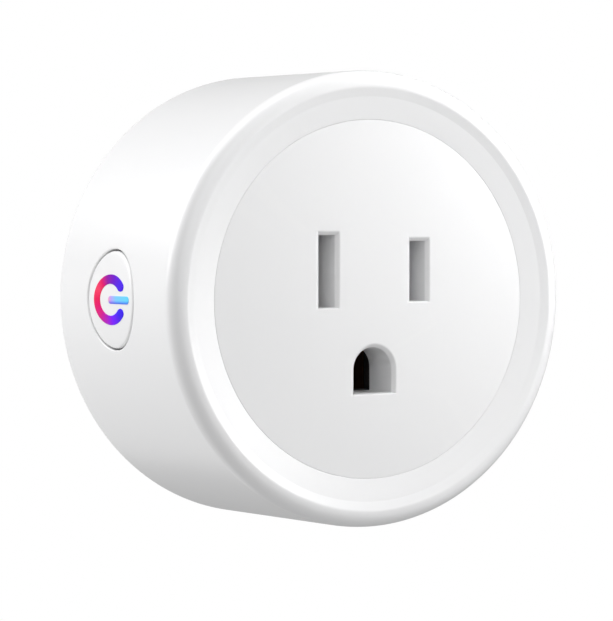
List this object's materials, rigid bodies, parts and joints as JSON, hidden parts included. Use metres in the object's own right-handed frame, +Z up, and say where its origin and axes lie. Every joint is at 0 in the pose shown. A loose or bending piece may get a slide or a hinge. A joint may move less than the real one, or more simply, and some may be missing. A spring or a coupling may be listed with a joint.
{
  "type": "smart plug",
  "caption": "Round pass-through smart plug: three-hole socket face, prongs on the back, side power button, relay and radio inside.",
  "frame": {"origin": "centre of the flat back face that rests against the wall outlet", "axes": "+Y into the wall, along the prongs; -Y out of the socket face; +Z up, ground hole below; button on -X"},
  "size_m": [0.0574, 0.0488, 0.0574],
  "materials": {
    "housing_plastic": "white satin moulded plastic",
    "face_plastic": "white satin moulded plastic",
    "cap_plastic": "white satin moulded plastic",
    "light_guide": "glowing coloured light guide",
    "blade_brass": "nickel-plated brass",
    "contact_copper": "copper alloy spring strip",
    "screw_steel": "zinc-plated steel",
    "carrier_plastic": "off-white heat-resistant moulding",
    "board_laminate": "green glass-fibre laminate",
    "relay_plastic": "blue relay moulding",
    "bobbin_plastic": "natural nylon",
    "copper_wire": "enamelled copper winding",
    "relay_iron": "soft iron",
    "spring_bronze": "phosphor bronze spring",
    "can_aluminium": "aluminium can with a printed-free sleeve",
    "sleeve_black": "black shrink sleeve",
    "ferrite": "ferrite",
    "varistor_coat": "blue epoxy coat",
    "resistor_coat": "green ceramic coat",
    "chip_black": "black epoxy",
    "radio_laminate": "dark blue laminate",
    "shield_tin": "tin-plated steel",
    "switch_black": "black nylon",
    "dome_steel": "stainless spring steel",
    "led_resin": "clear yellowish resin"
  },
  "bodies": {
    "housing": {"housing_shell": "housing_plastic", "rear_cover": "housing_plastic", "face_plate": "face_plastic", "rear_screws": "screw_steel", "line_blade": "blade_brass", "neutral_blade": "blade_brass", "ground_pin": "blade_brass", "contact_carrier": "carrier_plastic", "line_contact": "contact_copper", "neutral_contact": "contact_copper", "ground_contact": "contact_copper", "ground_strap": "contact_copper", "main_board": "board_laminate", "button_board": "board_laminate", "relay_base": "relay_plastic", "relay_case": "relay_plastic", "relay_bobbin": "bobbin_plastic", "relay_winding": "copper_wire", "relay_core": "relay_iron", "relay_yoke": "relay_iron", "relay_fixed_contact": "contact_copper", "filter_capacitor": "sleeve_black", "output_capacitor": "can_aluminium", "fusible_resistor": "resistor_coat", "inductor_core": "ferrite", "inductor_winding": "copper_wire", "varistor": "varistor_coat", "bridge_rectifier": "chip_black", "regulator_chip": "chip_black", "wifi_board": "radio_laminate", "wifi_shield": "shield_tin", "wifi_header": "switch_black", "tact_switch_body": "switch_black", "tact_dome": "dome_steel", "status_leds": "led_resin"},
    "button": {"button_cap": "cap_plastic", "power_icon": "light_guide"},
    "switch_plunger": {"tact_switch_plunger": "switch_black"},
    "relay_arm": {"relay_armature": "relay_iron", "relay_contact_spring": "spring_bronze"}
  },
  "joints": [
    {"name": "button_press", "type": "slide", "parent": "housing", "child": "button", "axis": [1, 0, 0], "range_m": [0, 0.0003], "stiffness_N_per_m": 4000},
    {"name": "switch_press", "type": "slide", "parent": "housing", "child": "switch_plunger", "axis": [1, 0, 0], "range_m": [0, 0.0003]},
    {"name": "relay_swing", "type": "hinge", "parent": "housing", "child": "relay_arm", "pos_m": [-0.00805, -0.0189, 0.01382], "axis": [0, 0, 1], "range_deg": [0, 2.4], "stiffness_Nm_per_rad": 0.02}
  ],
  "couplings": [
    {"joint": "switch_press", "follows": "button_press", "ratio": 1}
  ]
}
